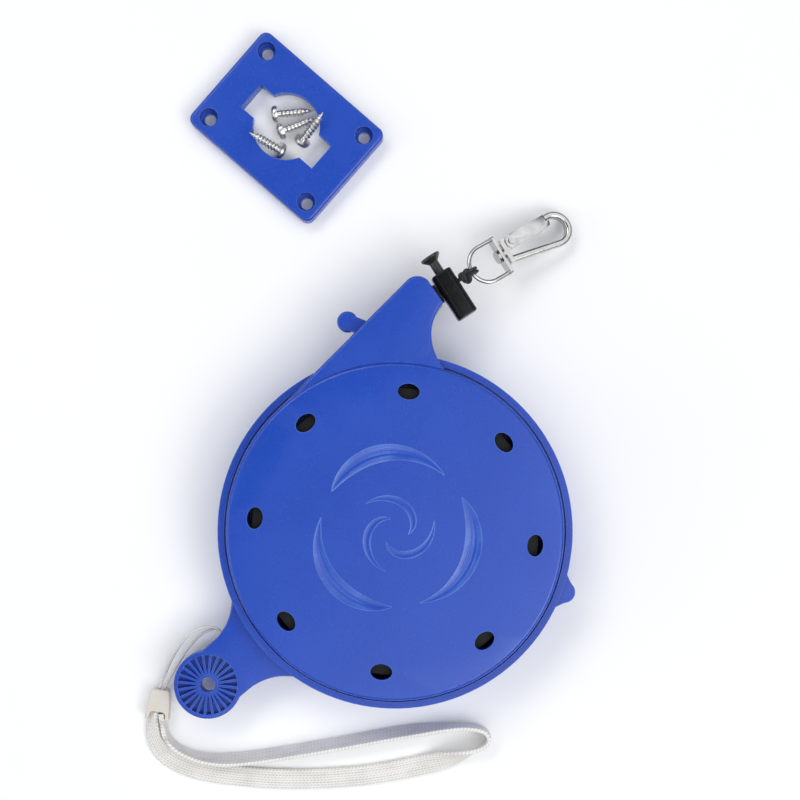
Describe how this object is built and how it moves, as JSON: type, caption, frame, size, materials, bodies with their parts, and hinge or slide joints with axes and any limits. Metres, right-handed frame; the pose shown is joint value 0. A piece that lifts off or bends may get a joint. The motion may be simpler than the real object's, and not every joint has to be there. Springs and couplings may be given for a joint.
{
  "type": "retractable clothesline",
  "caption": "Spring-reel retractable clothesline in a round blue case, with a cord lock and snap hook on the line, a wrist strap, a toothed lug and a keyed wall plate with screws.",
  "frame": {"origin": "centre of the key on the case's back, on the case's axis, where the back meets the wall or table", "axes": "+Z out of the round cover, +Y up past the neck, +X to the right as the cover is seen"},
  "size_m": [0.1518, 0.2676, 0.0246],
  "materials": {
    "blue_plastic": "semi_gloss",
    "black_plastic": "satin",
    "lock_black": "gloss",
    "lock_grey": "satin",
    "chrome": "polished",
    "zinc_steel": "satin",
    "spring_steel": "satin",
    "black_braid": "matte",
    "white_cord": "satin",
    "white_braid": "matte",
    "white_plastic": "satin"
  },
  "bodies": {
    "case": {"front_shell": "blue_plastic", "rear_shell": "blue_plastic", "arbor": "black_plastic", "arbor_washer": "zinc_steel", "arbor_screw": "zinc_steel", "line_lead": "black_braid", "line_guide": "black_plastic", "brake_pin": "zinc_steel", "case_screws": "zinc_steel", "strap_cord_a": "white_cord", "strap_cord_b": "white_cord", "strap_clip": "white_plastic", "strap_band": "white_braid"},
    "spool": {"spool": "black_plastic", "spool_cap": "black_plastic", "mainspring": "spring_steel", "wound_line": "black_braid"},
    "brake": {"brake_lever": "blue_plastic"},
    "cord_lock": {"cord_lock_barrel": "lock_black", "lock_spring": "spring_steel"},
    "plunger": {"lock_plunger": "lock_grey"},
    "line_tip": {"line_end": "black_braid", "line_knot": "black_braid"},
    "end_ring": {"d_ring": "chrome"},
    "hook": {"hook_body": "chrome", "gate_rivet": "chrome"},
    "gate": {"hook_gate": "chrome"},
    "plate": {"wall_plate": "blue_plastic"},
    "plate_screws": {"wall_screws": "zinc_steel"}
  },
  "joints": [
    {"name": "spool_spin", "type": "hinge", "parent": "case", "child": "spool", "pos_m": [0, 0, 0.0155], "axis": [0, 0, -1], "range_deg": [0, 13137], "stiffness_Nm_per_rad": 0.00012, "springref_deg": -14323.94},
    {"name": "line_pull", "type": "slide", "parent": "case", "child": "line_tip", "axis": [0.8387, 0.5446, 0], "range_m": [0, 8]},
    {"name": "lock_slide", "type": "slide", "parent": "case", "child": "cord_lock", "axis": [0.8387, 0.5446, 0], "range_m": [0, 0.0006]},
    {"name": "plunger_press", "type": "slide", "parent": "cord_lock", "child": "plunger", "axis": [0.5446, -0.8387, 0], "range_m": [0, 0.003], "stiffness_N_per_m": 300, "springref_m": -0.003, "deforming": ["lock_spring"]},
    {"name": "brake_throw", "type": "hinge", "parent": "case", "child": "brake", "pos_m": [-0.00709, 0.06874, 0.0155], "axis": [0, 0, -1], "range_deg": [0, 30]},
    {"name": "ring_swing", "type": "hinge", "parent": "line_tip", "child": "end_ring", "pos_m": [0.02674, 0.08975, 0.0155], "axis": [0.515, -0.8572, 0], "range_deg": [-6, 100]},
    {"name": "hook_swivel", "type": "hinge", "parent": "end_ring", "child": "hook", "pos_m": [0.03691, 0.09585, 0.01188], "axis": [0.8197, 0.4925, -0.2924], "continuous": true},
    {"name": "gate_open", "type": "hinge", "parent": "hook", "child": "gate", "pos_m": [0.04043, 0.10112, 0.01012], "axis": [-0.2506, -0.1506, -0.9563], "range_deg": [0, 18], "stiffness_Nm_per_rad": 0.03, "springref_deg": -22.92},
    {"name": "plate_lift", "type": "slide", "parent": "case", "child": "plate", "axis": [0, 0, 1], "range_m": [0, 0.06]},
    {"name": "screws_lift", "type": "slide", "parent": "case", "child": "plate_screws", "axis": [0, 0, 1], "range_m": [0, 0.08]}
  ],
  "couplings": [
    {"joint": "line_pull", "follows": "spool_spin", "m_per_rad": 0.03489}
  ]
}
